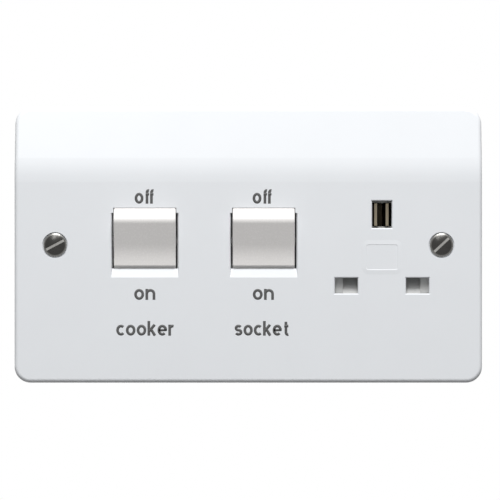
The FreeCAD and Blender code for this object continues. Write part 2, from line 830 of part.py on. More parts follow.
def link_outlines(grow):
    """Return the outlines of the strips in the back of the base, grown all round by a clearance."""
    half = "bar_width / 2"
    live_from, live_to = f"{pole_x('cooker', 'live')} + {half}", f"{pole_x('socket', 'live')} - {half}"
    neutral_from = f"{pole_x('cooker', 'neutral')} + {half}"
    neutral_to = f"{pole_x('socket', 'neutral')} - {half}"
    out_live = f"{pole_x('socket', 'live')} + {half}"
    out_neutral = f"{pole_x('socket', 'neutral')} + {half}"
    wide = f"(link_width / 2 + {grow})"
    clip_end = f"{NEUTRAL_X} + line_clip_width / 2 + {grow}"
    live_foot = f"{LINE_Z} - link_width / 2 - {grow}"
    live_low = f"live_link_top - link_width - {grow}"
    neutral_low = f"neutral_link_top - link_width - {grow}"
    return {
        "live_feed_link": rectangle(
            live_from,
            live_to,
            f"-{LIVE_LINK_DROP} - {grow}",
            f"link_width - {LIVE_LINK_DROP} + {grow}",
        ),
        "neutral_feed_link": rectangle(
            neutral_from,
            neutral_to,
            f"-neutral_link_drop - {grow}",
            f"neutral_link_width - neutral_link_drop + {grow}",
        ),
        "socket_live_link": [
            (out_live, live_low),
            (f"live_leg_x - {wide}", live_low),
            (f"live_leg_x - {wide}", live_foot),
            (f"live_leg_x + {wide}", live_foot),
            (f"live_leg_x + {wide}", f"live_link_top + {grow}"),
            (out_live, f"live_link_top + {grow}"),
        ],
        "socket_neutral_link": [
            (out_neutral, neutral_low),
            (f"neutral_riser_x - {wide}", neutral_low),
            (f"neutral_riser_x - {wide}", f"{LINE_Z} - {wide}"),
            (clip_end, f"{LINE_Z} - {wide}"),
            (clip_end, f"{LINE_Z} + {wide}"),
            (f"neutral_riser_x + {wide}", f"{LINE_Z} + {wide}"),
            (f"neutral_riser_x + {wide}", f"neutral_link_top + {grow}"),
            (out_neutral, f"neutral_link_top + {grow}"),
        ],
        "earth_strap": rectangle(
            f"outlet_x - {wide}",
            f"outlet_x + {wide}",
            "-earth_terminal_near",
            f"earth_height + earth_clip_height / 2 + {grow}",
        ),
    }


def links():
    """Flat strips in the back of the base."""
    for name, outline in link_outlines("0").items():
        piece = Piece(name)
        piece.pad_back([outline], LINK_FRONT_Y, LINK_REAR_Y)
        piece.done()


def terminal_places():
    """Return each cable terminal's name, X and side of the middle, as cable and clamp screw need them."""
    return [
        (f"{line}_{pole}_terminal", f"(cooker_x + {POLES['cooker', pole]} * terminal_spacing / 2)", side)
        for line, side in (("mains", -1), ("cooker", 1))
        for pole in ("neutral", "live")
    ]


def terminal(name, x, side):
    """Brass block with a cable bore and a tapped hole for its clamp screw."""
    piece = Piece(name)
    middle = f"{side} * (terminal_near + terminal_height / 2)"
    block = rectangle(
        f"{x} - terminal_width / 2", f"{x} + terminal_width / 2", TERMINAL_FRONT_Y, TERMINAL_REAR_Y
    )
    piece.pad_up([block], middle, "terminal_height")
    piece.blend("Chamfer", lambda along_middle, along: abs(along.z) > 0.99, "terminal_width / 16")
    piece.pocket_up([circle(x, CABLE_Y, "cable_bore")], middle, "2 * terminal_height")
    tapped = circle(x, middle, "clamp_screw + 2 * journal_clearance")
    piece.pocket_back([tapped], CABLE_Y, "base_rear")
    piece.done()


def earth_terminal():
    """Brass block with two cable bores and their tapped holes."""
    piece = Piece("earth_terminal")
    middle = "-(earth_terminal_near + terminal_height / 2)"
    block = rectangle(
        "outlet_x - earth_terminal_width / 2",
        "outlet_x + earth_terminal_width / 2",
        TERMINAL_FRONT_Y,
        TERMINAL_REAR_Y,
    )
    piece.pad_up([block], middle, "terminal_height")
    piece.blend("Chamfer", lambda along_middle, along: abs(along.z) > 0.99, "terminal_width / 16")
    bores = [circle(x, CABLE_Y, "earth_bore") for x in earth_bores()]
    piece.pocket_up(bores, middle, "2 * terminal_height")
    tapped = [circle(x, middle, "earth_clamp_screw + 2 * journal_clearance") for x in earth_bores()]
    piece.pocket_back(tapped, CABLE_Y, "base_rear")
    piece.done()


def earth_bores():
    """Return X of the two cable bores of the earth terminal."""
    return [f"outlet_x + {side} * earth_bore_spacing / 2" for side in (-1, 1)]


def clamp_places():
    """Return X, Z, diameter and cable bore of every clamp screw."""
    places = [
        (x, f"{side} * (terminal_near + terminal_height / 2)", "clamp_screw", "cable_bore")
        for name, x, side in terminal_places()
    ]
    earth_z = "-(earth_terminal_near + terminal_height / 2)"
    return places + [(x, earth_z, "earth_clamp_screw", "earth_bore") for x in earth_bores()]


def slotted_screw(name, outline, end, diameter):
    """Return a turned screw with a slot across the end that faces back."""
    screw = Piece(name)
    screw.turn(outline)
    slot = rectangle(
        f"{end} - clamp_slot_depth",
        f"{end} + clamp_slot_depth",
        "-clamp_slot_width / 2",
        "clamp_slot_width / 2",
    )
    screw.pocket_across([slot], "0", f"2 * {diameter}")
    return screw.body


def terminal_screws():
    """Slotted clamp screws of all terminals."""
    screws = []
    end = "(base_rear + clamp_screw_rise)"
    for x, z, diameter, bore in clamp_places():
        tip = f"({CABLE_Y} + {bore} / 2 + clamp_tip_gap)"
        radius = f"{diameter} / 2"
        outline = [("0", tip), (radius, tip), (radius, end), ("0", end)]
        screw = slotted_screw("clamp_screw", outline, end, diameter)
        place(screw, x, "0", z)
        screws.append(screw)
    group("terminal_screws", screws)


def base_screws():
    """Pan-head screws through cover and base into the plate."""
    screws = []
    tip = f"({BASE_FRONT_Y} - base_screw_bite)"
    end = f"({COVER_REAR_Y} + base_screw_head_height)"
    outline = [
        ("0", tip),
        ("base_screw / 2", tip),
        ("base_screw / 2", COVER_REAR_Y),
        ("base_screw_head / 2", COVER_REAR_Y),
        ("base_screw_head / 2", end),
        ("0", end),
    ]
    for x, z in base_screw_places():
        screw = slotted_screw("base_screw", outline, end, "base_screw_head")
        place(screw, x, "0", z)
        screws.append(screw)
    group("base_screws", screws)


def clip_outline(middle, gap, tip):
    """Return the outline of a folded spring clip, depth first, with flared leaf ends."""
    throat = f"(({gap}) / 2 - clip_flare)"
    web = f"({LINK_FRONT_Y} - clip_web)"
    bend = f"({tip} + clip_flare_length)"
    upper = [
        (tip, f"{middle} + {gap} / 2 + clip_leaf"),
        (tip, f"{middle} + {gap} / 2"),
        (bend, f"{middle} + {throat}"),
        (web, f"{middle} + {throat}"),
    ]
    lower = [
        (web, f"{middle} - {throat}"),
        (bend, f"{middle} - {throat}"),
        (tip, f"{middle} - {gap} / 2"),
        (tip, f"{middle} - {gap} / 2 - clip_leaf"),
    ]
    back = [
        (bend, f"{middle} - {throat} - clip_leaf"),
        (LINK_FRONT_Y, f"{middle} - {throat} - clip_leaf"),
        (LINK_FRONT_Y, f"{middle} + {throat} + clip_leaf"),
        (bend, f"{middle} + {throat} + clip_leaf"),
    ]
    return upper + lower + back


def clips():
    """Spring clips for the three pins."""
    for name, x in (("neutral_clip", NEUTRAL_X), ("live_clip", LIVE_X)):
        piece = Piece(name)
        tip = f"({BASE_FRONT_Y} + line_clip_setback)"
        piece.pad_across([clip_outline(LINE_Z, "line_clip_gap", tip)], x, "line_clip_width")
        piece.blend(
            "Fillet",
            lambda middle, along: near(middle.y, LINK_FRONT_Y) and abs(along.x) > 0.99,
            "clip_corner",
        )
        piece.done()
    piece = Piece("earth_clip")
    tip = f"({BASE_FRONT_Y} - earth_clip_proud)"
    outline = [(x, y) for y, x in clip_outline("outlet_x", "earth_clip_gap", tip)]
    piece.pad_up([outline], "earth_height", "earth_clip_height")
    piece.blend(
        "Fillet",
        lambda middle, along: near(middle.y, LINK_FRONT_Y) and abs(along.z) > 0.99,
        "clip_corner",
    )
    piece.done()


def shutter():
    """Sliding shutter with a ramp behind each line slot, and its spring."""
    piece = Piece("shutter")
    rear = f"({SHUTTER_FRONT_Y} + shutter_thickness)"
    width = "(2 * shutter_half_width)"
    middle = f"(({SHUTTER_TOP_Z} + {SHUTTER_FOOT_Z}) / 2)"
    piece.pad_back(
        [about("outlet_x", width, middle, f"({SHUTTER_TOP_Z} - {SHUTTER_FOOT_Z})")], SHUTTER_FRONT_Y, rear
    )
    ramp_end = f"({rear} - shutter_web)"
    above, before = f"({SHUTTER_TOP_Z} + shutter_web)", f"({SHUTTER_FRONT_Y} - shutter_web)"
    foot = f"({LINE_Z} - line_slot_height / 2)"
    ramp = [
        (SHUTTER_FRONT_Y, foot),
        (ramp_end, SHUTTER_TOP_Z),
        (ramp_end, above),
        (before, above),
        (before, foot),
    ]
    for x in (f"{NEUTRAL_X} + ramp_shift", f"{LIVE_X} - ramp_shift"):
        piece.pocket_across([ramp], x, "ramp_width")
    piece.done()
    length = f"({SHUTTER_FOOT_Z} + seat_height)"
    spring = coil("shutter_spring", length, "shutter_spring", "shutter_spring_turns")
    place(spring, "outlet_x", f"{SHUTTER_FRONT_Y} + shutter_thickness / 2", "-seat_height")


def base_outline():
    """Return the outline of base and cover, with the notch clear of the right fixing screw."""
    return [
        ("-base_left", "-base_half_height"),
        ("base_right", "-base_half_height"),
        ("base_right", "-notch_half_height"),
        ("notch_x", "-notch_half_height"),
        ("notch_x", "notch_half_height"),
        ("base_right", "notch_half_height"),
        ("base_right", "base_half_height"),
        ("-base_left", "base_half_height"),
    ]


def rear_base():
    """Moulded base: switch chambers, shutter guides, and pockets for terminals, clips and links."""
    base = Piece("rear_base")
    base.pad_back([base_outline()], BASE_FRONT_Y, "base_rear")
    for centre in SWITCHES.values():
        switch_chamber(base, centre)
    shutter_guides(base)
    for switch, pole in POLES:
        strip_passages(base, switch, pole)
    for outline in link_outlines("link_clearance").values():
        base.pocket_back([outline], LINK_FRONT_Y, "2 * base_rear")
    for name, x, side in terminal_places():
        terminal_pocket(base, [x], "terminal_width", x, side, "terminal_near", "cable_channel")
    terminal_pocket(
        base, earth_bores(), "earth_terminal_width", "outlet_x", -1, "earth_terminal_near", "earth_bore"
    )
    clip_pockets(base)
    screw_holes = base_screw_circles("base_screw + 2 * screw_clearance")
    base.pocket_back(screw_holes, f"2 * {BASE_FRONT_Y}", "2 * base_rear")
    base.done()


def switch_chamber(base, centre):
    """Raise the collar of a switch, hollow its chamber and cut the bearings of its rocker."""
    outer_width = "(2 * (chamber_half_width + chamber_wall))"
    outer_height = "(2 * (chamber_half_height + chamber_wall))"
    collar = about(centre, outer_width, "switch_height", outer_height)
    base.pad_back([collar], COLLAR_Y, f"{BASE_FRONT_Y} + chamber_wall")
    inside = about(centre, "(2 * chamber_half_width)", "switch_height", "(2 * chamber_half_height)")
    base.pocket_back([inside], f"{COLLAR_Y} - chamber_wall", FLOOR_Y)
    ledge = rectangle(
        f"{centre} - chamber_half_width - chamber_wall / 2",
        f"{centre} + chamber_half_width + chamber_wall / 2",
        "switch_height + contact_tip_height - contact_strip_overlap",
        "switch_height + chamber_half_height + chamber_wall / 2",
    )
    base.pad_back([ledge], f"{CONTACT_STRIP_Y} + strip_thickness", f"{FLOOR_Y} + chamber_floor / 2")
    journal = "(trunnion / 2 + journal_clearance)"
    mouth = f"({COLLAR_Y} - chamber_wall)"
    bearing = [
        (mouth, f"switch_height - {journal}"),
        (PIVOT_Y, f"switch_height - {journal}"),
        arc(PIVOT_Y, "switch_height"),
        (PIVOT_Y, f"switch_height + {journal}"),
        (mouth, f"switch_height + {journal}"),
    ]
    base.pocket_across([bearing], centre, f"{outer_width} + chamber_wall")


def shutter_guides(base):
    """Raise the shutter's two guides, its upper stop and the seat of its spring."""
    inner = "(shutter_half_width + guide_gap)"
    outer = f"({inner} + guide_width)"
    stop_top = f"{SHUTTER_TOP_Z} + guide_gap + stop_height"
    loops = [
        rectangle(f"outlet_x + {low}", f"outlet_x + {high}", "-guide_foot", stop_top)
        for low, high in ((f"-1 * {outer}", f"-1 * {inner}"), (inner, outer))
    ]
    loops.append(
        rectangle(
            "outlet_x - stop_half_width",
            "outlet_x + stop_half_width",
            f"{SHUTTER_TOP_Z} + guide_gap",
            stop_top,
        )
    )
    loops.append(
        rectangle(
            "outlet_x - seat_half_width",
            "outlet_x + seat_half_width",
            "-seat_height - seat_thickness",
            "-seat_height",
        )
    )
    base.pad_back(loops, SHUTTER_FRONT_Y, f"{BASE_FRONT_Y} + chamber_wall")


def strip_passages(base, switch, pole):
    """Cut the ways of a pole's feed strip and fixed contact through the floor and along the back."""
    x = pole_x(switch, pole)
    width = "(bar_width + 2 * link_clearance)"
    leg = f"(switch_height - {leg_drop(pole)})"
    contact = "(switch_height + contact_leg_height)"
    leg_top = f"{leg} + strip_thickness + link_clearance"
    contact_low = f"{contact} - strip_thickness - link_clearance"
    spans = [
        (f"{leg} - link_clearance", leg_top, f"{FLOOR_Y} - strip_thickness"),
        (contact_low, f"{contact} + link_clearance", CONTACT_STRIP_Y),
        (tail_end(switch, pole), leg_top, LINK_FRONT_Y),
        (contact_low, contact_end(switch, pole), LINK_FRONT_Y),
    ]
    for low, high, front in spans:
        way = rectangle(f"{x} - {width} / 2", f"{x} + {width} / 2", low, high)
        base.pocket_back([way], front, "2 * base_rear")


def terminal_pocket(base, bores, width, middle_x, side, near_edge, channel):
    """Cut the pocket of a terminal and the channels of its cables to the edge of the base."""
    middle_z = f"{side} * ({near_edge} + terminal_height / 2)"
    room_height = "(terminal_height + 2 * seat_clearance)"
    room = about(middle_x, f"({width} + 2 * seat_clearance)", middle_z, room_height)
    base.pocket_back([room], f"{TERMINAL_FRONT_Y} - seat_clearance", "2 * base_rear")
    far = f"({near_edge} + terminal_height)"
    length = f"(base_half_height - {near_edge})"
    channels = [circle(x, CABLE_Y, channel) for x in bores]
    base.pocket_up(channels, f"{side} * ({far} + {length} / 2)", length)


def clip_pockets(base):
    """Cut the pockets of the three pin clips, with a lip in front of the line clips."""
    leaves = "2 * clip_leaf + 2 * clip_spread"
    pins = [about(x, "line_slot_width", LINE_Z, "line_slot_height") for x in (NEUTRAL_X, LIVE_X)]
    base.pocket_back(pins, f"2 * {BASE_FRONT_Y}", "base_rear")
    room_width = "(line_clip_width + 2 * clip_clearance)"
    rooms = [about(x, room_width, LINE_Z, f"(line_clip_gap + {leaves})") for x in (NEUTRAL_X, LIVE_X)]
    base.pocket_back(rooms, f"{BASE_FRONT_Y} + line_lip", "2 * base_rear")
    earth_room = about(
        "outlet_x",
        f"(earth_clip_gap + {leaves})",
        "earth_height",
        "(earth_clip_height + 2 * clip_clearance)",
    )
    base.pocket_back([earth_room], f"2 * {BASE_FRONT_Y}", "2 * base_rear")


def rear_cover():
    """Flat cover over the back of the base, with holes for the screws."""
    cover = Piece("rear_cover")
    cover.pad_back([base_outline()], "base_rear", COVER_REAR_Y)
    room = "4 * seat_clearance"
    holes = [circle(x, z, f"{diameter} + 2 * {room}") for x, z, diameter, bore in clamp_places()]
    holes += base_screw_circles("base_screw + 2 * screw_clearance")
    cover.pocket_back(holes, "0", f"2 * {COVER_REAR_Y}")
    cover.done()


front_plate()
group("fixing_screws", [fixing_screw(side) for side in ("left", "right")])
for switch in SWITCHES:
    rocker(switch)
for switch, pole in POLES:
    plunger(switch, pole)
    plunger_spring(switch, pole)
    contact_bar(switch, pole)
    feed_strip(switch, pole)
    fixed_contact(switch, pole)
fixed_tips()
links()
for name, x, side in terminal_places():
    terminal(name, x, side)
earth_terminal()
terminal_screws()
clips()
shutter()
rear_base()
rear_cover()
base_screws()

doc.recompute()
failed = [item.Name for item in doc.Objects if {"Invalid", "Error"} & set(item.State)]
if failed:
    raise RuntimeError(f"These objects failed: {failed}")
for sub_part in SUB_PARTS:
    if sub_part.Shape.isNull() or not sub_part.Shape.isValid():
        raise RuntimeError(f"{sub_part.Label} has no valid shape")

os.makedirs("parts", exist_ok=True)
for sub_part in SUB_PARTS:
    sub_part.Shape.exportStep(f"parts/{sub_part.Label}.step")
    solids, volume = len(sub_part.Shape.Solids), sub_part.Shape.Volume
    print(f"{sub_part.Label}: {solids} solids, {volume:.2f} cubic millimetres")
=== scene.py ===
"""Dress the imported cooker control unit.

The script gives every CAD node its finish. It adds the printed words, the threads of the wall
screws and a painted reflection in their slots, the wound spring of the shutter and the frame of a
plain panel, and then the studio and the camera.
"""

import json
import logging
import math
from abc import ABC, abstractmethod
from dataclasses import dataclass
from enum import Enum

import bpy
from mathutils import Matrix, Vector


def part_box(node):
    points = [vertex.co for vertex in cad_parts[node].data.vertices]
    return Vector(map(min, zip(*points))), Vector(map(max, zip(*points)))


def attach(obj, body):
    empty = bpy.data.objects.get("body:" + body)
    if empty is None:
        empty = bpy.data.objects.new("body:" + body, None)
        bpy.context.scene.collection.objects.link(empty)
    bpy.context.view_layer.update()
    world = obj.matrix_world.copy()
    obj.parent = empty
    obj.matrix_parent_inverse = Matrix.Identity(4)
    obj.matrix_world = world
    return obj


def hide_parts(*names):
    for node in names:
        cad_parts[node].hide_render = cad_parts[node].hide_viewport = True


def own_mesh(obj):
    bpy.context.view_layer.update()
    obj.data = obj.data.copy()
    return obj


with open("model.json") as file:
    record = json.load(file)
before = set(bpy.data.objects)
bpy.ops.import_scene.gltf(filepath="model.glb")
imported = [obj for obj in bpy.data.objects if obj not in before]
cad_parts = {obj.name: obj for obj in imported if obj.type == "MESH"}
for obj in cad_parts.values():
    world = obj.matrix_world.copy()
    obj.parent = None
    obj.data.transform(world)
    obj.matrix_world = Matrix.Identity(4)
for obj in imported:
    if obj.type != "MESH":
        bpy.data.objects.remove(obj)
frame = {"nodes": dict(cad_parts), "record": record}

log = logging.getLogger("cooker_control_unit")

Point = tuple[float, float]
Point3 = tuple[float, float, float]
Colour = tuple[float, float, float]
Face = tuple[int, ...]
Socket = bpy.types.NodeSocket

MM = 0.001
UNIT_BODY = "unit"
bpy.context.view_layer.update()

# Both wall screws stand at half their spacing, in metres.
SCREW_SPACING = 0.1206
SCREW_X = (-SCREW_SPACING / 2, SCREW_SPACING / 2)

# Mottle of a finish: its patches in a metre, its detail and the part of the noise that it uses.
CLOUD_SCALE = 55.0
CLOUD_DETAIL = 3.0
CLOUD_RANGE = (0.3, 0.7)
# Share of the mottle that makes a colour lighter, and the lightest that a channel gets.
LIGHTER_SHARE = 0.3
LIGHTEST = 0.95
# Detail of the grain, and the share by which it varies the roughness.
GRAIN_DETAIL = 4.0
POLISH_SPREAD = 0.15

# Letters: the turn that one step of an arc makes, in degrees, and the fewest steps of an arc.
ARC_STEP = 9.0
ARC_STEPS_LEAST = 6
# Steps in each round corner of the panel.
CORNER_STEPS = 4

METAL = 1.0


class Surface(Enum):
    """Kind of fine surface detail, as the scale of its grain along each axis."""

    EVEN = (1.0, 1.0, 1.0)
    BRUSHED = (1.0, 1.0, 0.06)


@dataclass(frozen=True)
class Zone(ABC):
    """Part of a surface with another colour, found by a coordinate of the piece. Zones here paint a
    reflection on the screw heads and wear on the earth clip.

    Attributes:
        colour: Colour of the zone, linear red, green and blue.
        start: Coordinate at which the zone starts to show, in metres.
        full: Coordinate from which it covers the surface, in metres.
    """

    colour: Colour
    start: float
    full: float

    def paint(self, tree: bpy.types.NodeTree, place: Socket, under: Socket) -> Socket:
        """Lay the zone over a colour.

        Args:
            tree: Material tree that gets the nodes.
            place: Socket with the place on the piece.
            under: Socket with the colour outside the zone.

        Returns:
            A socket with the colour of the whole surface.
        """
        split = tree.nodes.new("ShaderNodeSeparateXYZ")
        tree.links.new(place, split.inputs["Vector"])
        cover = tree.nodes.new("ShaderNodeMapRange")
        cover.inputs["From Min"].default_value = self.start
        cover.inputs["From Max"].default_value = self.full
        tree.links.new(self._coordinate(tree, split), cover.inputs["Value"])
        mix = tree.nodes.new("ShaderNodeMixRGB")
        mix.inputs["Color2"].default_value = (*self.colour, 1.0)
        tree.links.new(cover.outputs["Result"], mix.inputs["Fac"])
        tree.links.new(under, mix.inputs["Color1"])
        return mix.outputs["Color"]

    @abstractmethod
    def _coordinate(self, tree: bpy.types.NodeTree, split: bpy.types.Node) -> Socket:
        """Return the coordinate by which the zone is found.

        Args:
            tree: Material tree that gets the nodes.
            split: Node with X, Y and Z of the place on the piece.

        Returns:
            A socket with the coordinate.
        """


@dataclass(frozen=True)
class DepthZone(Zone):
    """Zone found by the depth behind the wall plane, which is Y."""

    def _coordinate(self, tree: bpy.types.NodeTree, split: bpy.types.Node) -> Socket:
        """Return the depth.

        Args:
            tree: Material tree, which gets no node here.
            split: Node with X, Y and Z of the place on the piece.

        Returns:
            A socket with the depth.
        """
        return split.outputs["Y"]


@dataclass(frozen=True)
class ScrewZone(Zone):
    """Zone found by the distance from the axis of the nearer wall screw; here it paints a lighter
    ring at the rim of each head, a painted reflection.
    """

    def _coordinate(self, tree: bpy.types.NodeTree, split: bpy.types.Node) -> Socket:
        """Return the distance from the screw's axis.

        Args:
            tree: Material tree that gets the nodes.
            split: Node with X, Y and Z of the place on the piece.

        Returns:
            A socket with the distance.
        """
        outward = tree.nodes.new("ShaderNodeMath")
        outward.operation = "ABSOLUTE"
        tree.links.new(split.outputs["X"], outward.inputs[0])
        sideways = tree.nodes.new("ShaderNodeMath")
        sideways.operation = "SUBTRACT"
        sideways.inputs[1].default_value = SCREW_SPACING / 2
        tree.links.new(outward.outputs["Value"], sideways.inputs[0])
        radial = tree.nodes.new("ShaderNodeCombineXYZ")
        tree.links.new(sideways.outputs["Value"], radial.inputs["X"])
        tree.links.new(split.outputs["Z"], radial.inputs["Z"])
        reach = tree.nodes.new("ShaderNodeVectorMath")
        reach.operation = "LENGTH"
        tree.links.new(radial.outputs["Vector"], reach.inputs[0])
        return reach.outputs["Value"]


@dataclass(frozen=True)
class Finish:
    """One procedural finish.

    Attributes:
        name: Name of the Blender material.
        colour: Base colour, linear red, green and blue.
        roughness: Mean roughness.
        metallic: METAL for bare metal, 0 for plastic and ink.
        surface: Kind of fine surface detail.
        mottle: Share by which the colour varies over the piece.
        grain: Size of the fine surface detail, in metres.
        relief: Height of the fine surface detail, in metres.
        specular: Specular level of the surface.
        zones: Zones with another colour, each over the ones before it, for painted reflection and
            for wear.
    """

    name: str
    colour: Colour
    roughness: float
    metallic: float = 0.0
    surface: Surface = Surface.EVEN
    mottle: float = 0.03
    grain: float = 0.0006
    relief: float = 0.000002
    specular: float = 0.5
    zones: tuple[Zone, ...] = ()

    def material(self) -> bpy.types.Material:
        """Return the material, built on first use.

        Returns:
            The node material for this finish.
        """
        made = bpy.data.materials.get(self.name)
        if made is not None:
            return made
        made = bpy.data.materials.new(self.name)
        made.use_nodes = True
        made.diffuse_color = (*self.colour, 1.0)
        place = made.node_tree.nodes.new("ShaderNodeTexCoord").outputs["Object"]
        shader = made.node_tree.nodes["Principled BSDF"]
        shader.inputs["Metallic"].default_value = self.metallic
        shader.inputs["Specular IOR Level"].default_value = self.specular
        self._wire_colour(made.node_tree, place, shader)
        self._wire_grain(made.node_tree, place, shader)
        return made

    def _wire_colour(
        self, tree: bpy.types.NodeTree, place: Socket, shader: bpy.types.Node
    ) -> None:
        """Give the shader its mottled colour, with the zones over it.

        Args:
            tree: Material tree that gets the nodes.
            place: Socket with the place on the piece.
            shader: Shader of the material.
        """
        nodes, links = tree.nodes, tree.links
        cloud = nodes.new("ShaderNodeTexNoise")
        cloud.inputs["Scale"].default_value = CLOUD_SCALE
        cloud.inputs["Detail"].default_value = CLOUD_DETAIL
        links.new(place, cloud.inputs["Vector"])
        tint = nodes.new("ShaderNodeValToRGB")
        factors = (1.0 - self.mottle, 1.0 + LIGHTER_SHARE * self.mottle)
        for stop, position, factor in zip(tint.color_ramp.elements, CLOUD_RANGE, factors):
            stop.position = position
            stop.color = (*self._shade(factor), 1.0)
        links.new(cloud.outputs["Fac"], tint.inputs["Fac"])
        colour = tint.outputs["Color"]
        for zone in self.zones:
            colour = zone.paint(tree, place, colour)
        links.new(colour, shader.inputs["Base Color"])

    def _wire_grain(
        self, tree: bpy.types.NodeTree, place: Socket, shader: bpy.types.Node
    ) -> None:
        """Give the shader its uneven polish and its fine relief.

        Args:
            tree: Material tree that gets the nodes.
            place: Socket with the place on the piece.
            shader: Shader of the material.
        """
        nodes, links = tree.nodes, tree.links
        stretch = nodes.new("ShaderNodeMapping")
        stretch.inputs["Scale"].default_value = self.surface.value
        links.new(place, stretch.inputs["Vector"])
        grain = nodes.new("ShaderNodeTexNoise")
        grain.inputs["Scale"].default_value = 1.0 / self.grain
        grain.inputs["Detail"].default_value = GRAIN_DETAIL
        links.new(stretch.outputs["Vector"], grain.inputs["Vector"])
        polish = nodes.new("ShaderNodeMapRange")
        polish.inputs["To Min"].default_value = self.roughness * (1.0 - POLISH_SPREAD)
        polish.inputs["To Max"].default_value = self.roughness * (1.0 + POLISH_SPREAD)
        links.new(grain.outputs["Fac"], polish.inputs["Value"])
        links.new(polish.outputs["Result"], shader.inputs["Roughness"])
        bump = nodes.new("ShaderNodeBump")
        bump.inputs["Strength"].default_value = 1.0
        bump.inputs["Distance"].default_value = self.relief
        links.new(grain.outputs["Fac"], bump.inputs["Height"])
        links.new(bump.outputs["Normal"], shader.inputs["Normal"])

    def _shade(self, factor: float) -> Colour:
        """Return the base colour times a factor, kept below white.

        Args:
            factor: Factor for every channel.

        Returns:
            The colour.
        """
        red, green, blue = (min(LIGHTEST, channel * factor) for channel in self.colour)
        return red, green, blue


PLATE_WHITE = Finish("plate_white", (0.80, 0.82, 0.845), 0.3, mottle=0.012, specular=0.4)
ROCKER_WHITE = Finish("rocker_white", (0.78, 0.762, 0.748), 0.27, mottle=0.012, specular=0.4)
# Wall-screw heads: the colour is far darker than bare nickel, a painted reflection of dark
# surroundings, and the lighter ring at the rim of each head is a painted reflection too.
NICKEL = Finish(
    "nickel_plate",
    (0.047, 0.046, 0.044),
    0.27,
    METAL,
    mottle=0.1,
    zones=(ScrewZone((0.17, 0.168, 0.16), start=0.0030, full=0.0034),),
)
# Brighter nickel for the floors of the screw slots: a painted reflection, not wear.
SLOT_REFLECTION_NICKEL = Finish(
    "slot_reflection_nickel", (0.34, 0.335, 0.32), 0.34, METAL, Surface.BRUSHED, mottle=0.1
)
NYLON = Finish("natural_nylon", (0.78, 0.75, 0.66), 0.5)
SPRING_WIRE = Finish(
    "drawn_spring_wire", (0.5, 0.5, 0.52), 0.28, METAL, Surface.BRUSHED, mottle=0.12
)
BRASS = Finish(
    "dull_brass", (0.2, 0.176, 0.13), 0.4, METAL, Surface.BRUSHED, mottle=0.16, grain=0.0004
)
# Earth clip: its brass is darker than the other brass, painted shade deep in its slot; its front
# edges, where the pins rub, are lighter with wear.
CLIP_BRASS_SHADE_AND_WEAR = Finish(
    "clip_brass_shade_and_wear",
    (0.1, 0.085, 0.06),
    0.4,
    METAL,
    Surface.BRUSHED,
    mottle=0.16,
    zones=(DepthZone((0.24, 0.21, 0.155), start=-0.0047, full=-0.0049),),
)
SILVER = Finish("silver_contact", (0.82, 0.81, 0.78), 0.25, METAL, mottle=0.08)
ZINC = Finish("zinc_plate", (0.6, 0.6, 0.58), 0.3, METAL, mottle=0.12)
SHUTTER_GREY = Finish("shutter_grey", (0.5, 0.5, 0.49), 0.42, mottle=0.02)
BASE_RESIN = Finish("base_resin", (0.74, 0.74, 0.71), 0.48, mottle=0.05, relief=0.000006)
COVER_SHEET = Finish(
    "insulating_sheet", (0.045, 0.045, 0.048), 0.55, mottle=0.2, relief=0.000008
)
PRINT_INK = Finish("printing_ink", (0.085, 0.085, 0.085), 0.6, mottle=0.15, grain=0.0003)
PALE_FLOOR = Finish("pale_floor", (0.8, 0.8, 0.8), 0.8, mottle=0.01)

SLOT_FINISHES = {
    "plate": PLATE_WHITE,
    "rocker": ROCKER_WHITE,
    "nickel": NICKEL,
    "plunger": NYLON,
    "spring_steel": SPRING_WIRE,
    "brass": BRASS,
    "silver": SILVER,
    "zinc": ZINC,
    "shutter": SHUTTER_GREY,
    "base": BASE_RESIN,
    "cover": COVER_SHEET,
}
NODE_FINISHES = {"earth_clip": CLIP_BRASS_SHADE_AND_WEAR}


def dress_cad_nodes() -> None:
    """Give every CAD node its own finish or that of its material slot."""
    for entry in frame["record"]["subparts"]:
        finish = NODE_FINISHES.get(entry["node"], SLOT_FINISHES[entry["material_slot"]])
        node = frame["nodes"][entry["node"]]
        node.data.materials.clear()
        node.data.materials.append(finish.material())
    log.info("dressed %d CAD nodes", len(frame["nodes"]))


def plate_face() -> float:
    """Return the Y of the front of the plate.

    Returns:
        The Y, in metres.
    """
    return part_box("front_plate")[0].y


def add_object(name: str, data: bpy.types.ID) -> bpy.types.Object:
    """Return a new object in the scene.

    Args:
        name: Name of the object.
        data: Its mesh, curve, light or camera.

    Returns:
        The object.
    """
    made = bpy.data.objects.new(name, data)
    bpy.context.scene.collection.objects.link(made)
    return made


def plain_mesh(source: bpy.types.Object, name: str, move: Matrix) -> bpy.types.Object:
    """Turn an object with a node tree into a plain mesh object at the origin.

    Args:
        source: Object that carries the node tree.
        name: Name of the new object.
        move: Place of the mesh in the unit's frame.

    Returns:
        The new object. The source is removed.
    """
    view = bpy.context.evaluated_depsgraph_get()
    mesh = bpy.data.meshes.new_from_object(source.evaluated_get(view), depsgraph=view)
    mesh.transform(move)
    mesh.name = name
    made = add_object(name, mesh)
    bpy.data.objects.remove(source)
    return made


def moulded(
    name: str, corners: list[Point3], faces: list[Face], finish: Finish
) -> bpy.types.Object:
    """Return a finished piece on the unit's body.

    Args:
        name: Name of the piece.
        corners: Corners of its mesh, in metres.
        faces: Faces of its mesh.
        finish: Finish of the piece.

    Returns:
        The piece.
    """
    mesh = bpy.data.meshes.new(name)
    mesh.from_pydata(corners, [], faces)
    mesh.materials.append(finish.material())
    piece = add_object(name, mesh)
    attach(piece, UNIT_BODY)
    return piece


